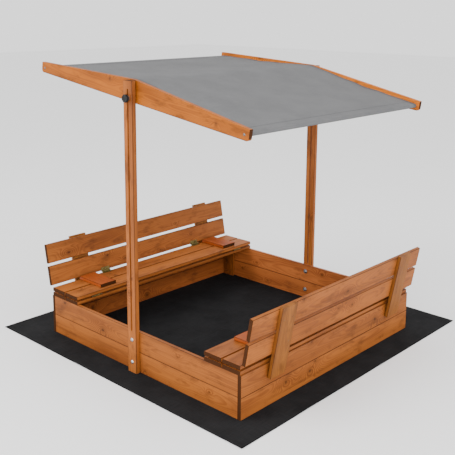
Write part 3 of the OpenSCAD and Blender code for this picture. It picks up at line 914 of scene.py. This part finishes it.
# %% Stitching
STITCH_LENGTH = 0.0042
STITCH_PITCH = 0.0056
THREAD = 0.0007
SEAM_ROW_GAP = 0.004
HEM_SEAM_LIFT, SLEEVE_SEAM_LIFT = 0.0012, 0.0006
bpy.ops.object.select_all(action="DESELECT")
bpy.ops.mesh.primitive_cube_add(size=1)
stitch = bpy.context.object
stitch.scale = (STITCH_LENGTH, THREAD, THREAD)
bpy.ops.object.transform_apply(location=False, rotation=False, scale=True)
rounding = stitch.modifiers.new("rounding", "BEVEL")
rounding.width = THREAD * 0.3
bpy.ops.object.modifier_apply(modifier="rounding")


def facing(point, run, outward):
    """A place at a point, its X along run and its Z outward."""
    side = outward.cross(run).normalized()
    turned = Matrix((run.normalized(), side, outward.normalized())).transposed()
    return Matrix.Translation(point) @ turned.to_4x4()


def seam_places(start, end, lift):
    """Places of stitches on the cloth between two (along, across) places."""
    length = math.hypot(end[0] - start[0], end[1] - start[1])
    places = []
    for number in range(int(length / STITCH_PITCH)):
        part = (number + 0.5) * STITCH_PITCH / length
        here, further = [roof_place(start[0] + (end[0] - start[0]) * p,
                                    start[1] + (end[1] - start[1]) * p, lift)
                         for p in (part, part + 0.001)]
        outward = roof_place(start[0] + (end[0] - start[0]) * part,
                             start[1] + (end[1] - start[1]) * part, lift + 0.01) - here
        places.append(facing(here, further - here, outward))
    return places


slope_start = path_lengths[len(left_sleeve)]
slope_end = path_lengths[len(left_sleeve) + len(slopes)]
hem_seam = CLOTH_WIDTH / 2 - HEM_WIDTH + 0.003
stitch_places = []
for across in (-hem_seam, hem_seam):
    stitch_places += seam_places((slope_start, across), (slope_end, across), HEM_SEAM_LIFT)
for along in (slope_start + SEAM_IN, slope_end - SEAM_IN):
    for row in (0, SEAM_ROW_GAP):
        stitch_places += seam_places((along + row, -hem_seam), (along + row, hem_seam),
                                     SLEEVE_SEAM_LIFT)
stitching = copies("canopy_stitching", stitch, stitch_places)
bpy.data.objects.remove(stitch)
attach(stitching, "roof")
print("stitches", len(stitch_places))

# %% [markdown]
# ## Woven cloth
# The cloth is a plain weave of grey polyester: threads cross over and under each other every
# millimetre or so, and some are a little thicker or lighter. The canopy's own map is in
# metres, so sines of it draw the crossings at their true size, and noise stretched along each
# direction gives the uneven threads.

# %% Woven cloth
CLOTH_GREY = colour(102, 102, 103)
CLOTH_SHADE = colour(84, 84, 85)


def woven(name, light, dark, pitch, depth, rough, shine=0.2):
    """A plain weave on a piece whose map is in metres."""
    finish = Finish(name, Specular_IOR_Level=shine)
    thread_map = finish.place(source="UV")
    across, along, _ = finish.axes(thread_map)
    crossing = ((across * (2 * math.pi / pitch)).math("SINE")
                * (along * (2 * math.pi / pitch)).math("SINE"))
    slubs = (finish.noise(finish.stretch(thread_map, (700, 14, 1)), 1.0, 2)
             + finish.noise(finish.stretch(thread_map, (14, 700, 1)), 1.0, 2)) * 0.5
    cloud = finish.noise(finish.place(), 7, 4, 0.6)
    shade = slubs.rise(0.35, 0.65) * 0.45 + cloud.rise(0.3, 0.7) * 0.35 + crossing * 0.06
    finish.set("Base Color", finish.mix(shade, light, dark))
    finish.set("Roughness", slubs * 0.15 + rough)
    finish.bump(crossing * 0.25 + slubs, depth, 0.7)
    return finish


canopy_weave = woven("canopy_weave", CLOTH_GREY, CLOTH_SHADE, 0.0014, 0.0004, 0.72)
hem_weave = woven("hem_weave", colour(92, 92, 93), colour(74, 74, 75), 0.0014, 0.0004, 0.74)
thread_finish = Finish("thread", Roughness=0.6)
thread_twist = thread_finish.noise(thread_finish.place(), 900, 2)
thread_finish.set("Base Color", thread_finish.mix(thread_twist, colour(78, 78, 79), colour(58, 58, 59)))
give(canopy, canopy_weave)
for hem in hems:
    give(hem, hem_weave)
give(stitching, thread_finish)
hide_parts("canopy")

# %% [markdown]
# ## The ground sheet
# The box stands on a loose black sheet that keeps weeds out and lets water through. It came
# folded, so faint creases cross it, and its free border ripples by a millimetre or two. Under
# the boards it is pressed flat, so the ripples fade out near the walls.

# %% The ground sheet
sheet_low, sheet_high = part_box("ground_sheet")
wall_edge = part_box("right_wall_lower")[1].x
SHEET_THICK = sheet_high.z - sheet_low.z
PRESSED_BAND = 0.030
WALL_BAND = 0.09
POST_BAND = 0.05
FADE_OUT = 0.06
RIPPLE_HEIGHT = 0.0020
CREASE_HEIGHT, CREASE_WIDTH = 0.0006, 0.008
sheet_width, sheet_length = sheet_high.x - sheet_low.x, sheet_high.y - sheet_low.y
sheet_middle = (sheet_low + sheet_high) / 2


def ripple_at(x, y):
    """Height of the ground sheet's ripples and creases over its flat lie."""
    walls_away = abs(max(abs(x), abs(y)) - (wall_edge - WALL_BAND / 2)) - WALL_BAND / 2
    post_away = max(abs(x) - POST_BAND, abs(abs(y) - wall_edge) - PRESSED_BAND)
    free = max(0.0, min(1.0, min(walls_away, post_away) / FADE_OUT))
    ripples = (math.sin(11 * x + 5 * y + 1.3) * math.sin(7 * y - 4 * x + 0.4)
               + 0.5 * math.sin(23 * x - 9 * y) * math.sin(17 * y + 6 * x + 2.0))
    creases = 0.0
    for fold in (-1, 0, 1):
        creases += math.exp(-abs(x - sheet_middle.x - fold * sheet_width / 4) / CREASE_WIDTH)
        creases += math.exp(-abs(y - sheet_middle.y - fold * sheet_length / 4) / CREASE_WIDTH)
    return free * (max(0.0, ripples) * RIPPLE_HEIGHT + creases * CREASE_HEIGHT)


SHEET_STEPS = 220
bpy.ops.object.select_all(action="DESELECT")
bpy.ops.mesh.primitive_grid_add(x_subdivisions=SHEET_STEPS, y_subdivisions=SHEET_STEPS, size=2)
ground_sheet = bpy.context.object
for corner in ground_sheet.data.vertices:
    x = sheet_middle.x + corner.co.x * sheet_width / 2
    y = sheet_middle.y + corner.co.y * sheet_length / 2
    corner.co = (x, y, sheet_high.z - SHEET_THICK * 0.1 + ripple_at(x, y))
for corner in ground_sheet.data.uv_layers[0].uv:
    corner.vector = (corner.vector.x * sheet_width, corner.vector.y * sheet_length)
thickness = ground_sheet.modifiers.new("thickness", "SOLIDIFY")
thickness.thickness = SHEET_THICK * 0.8
thickness.offset = -1
select_only(ground_sheet)
bpy.ops.object.modifier_apply(modifier="thickness")
bpy.ops.object.shade_smooth()
finished(ground_sheet, "ground_sheet_cloth")

black_weave = woven("ground_weave", colour(36, 36, 37), colour(14, 14, 15), 0.0022, 0.0004, 0.85, 0.08)
give(ground_sheet, black_weave)
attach(ground_sheet, "sandbox")
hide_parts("ground_sheet")
print("ground sheet", round(sheet_width, 3), "by", round(sheet_length, 3))
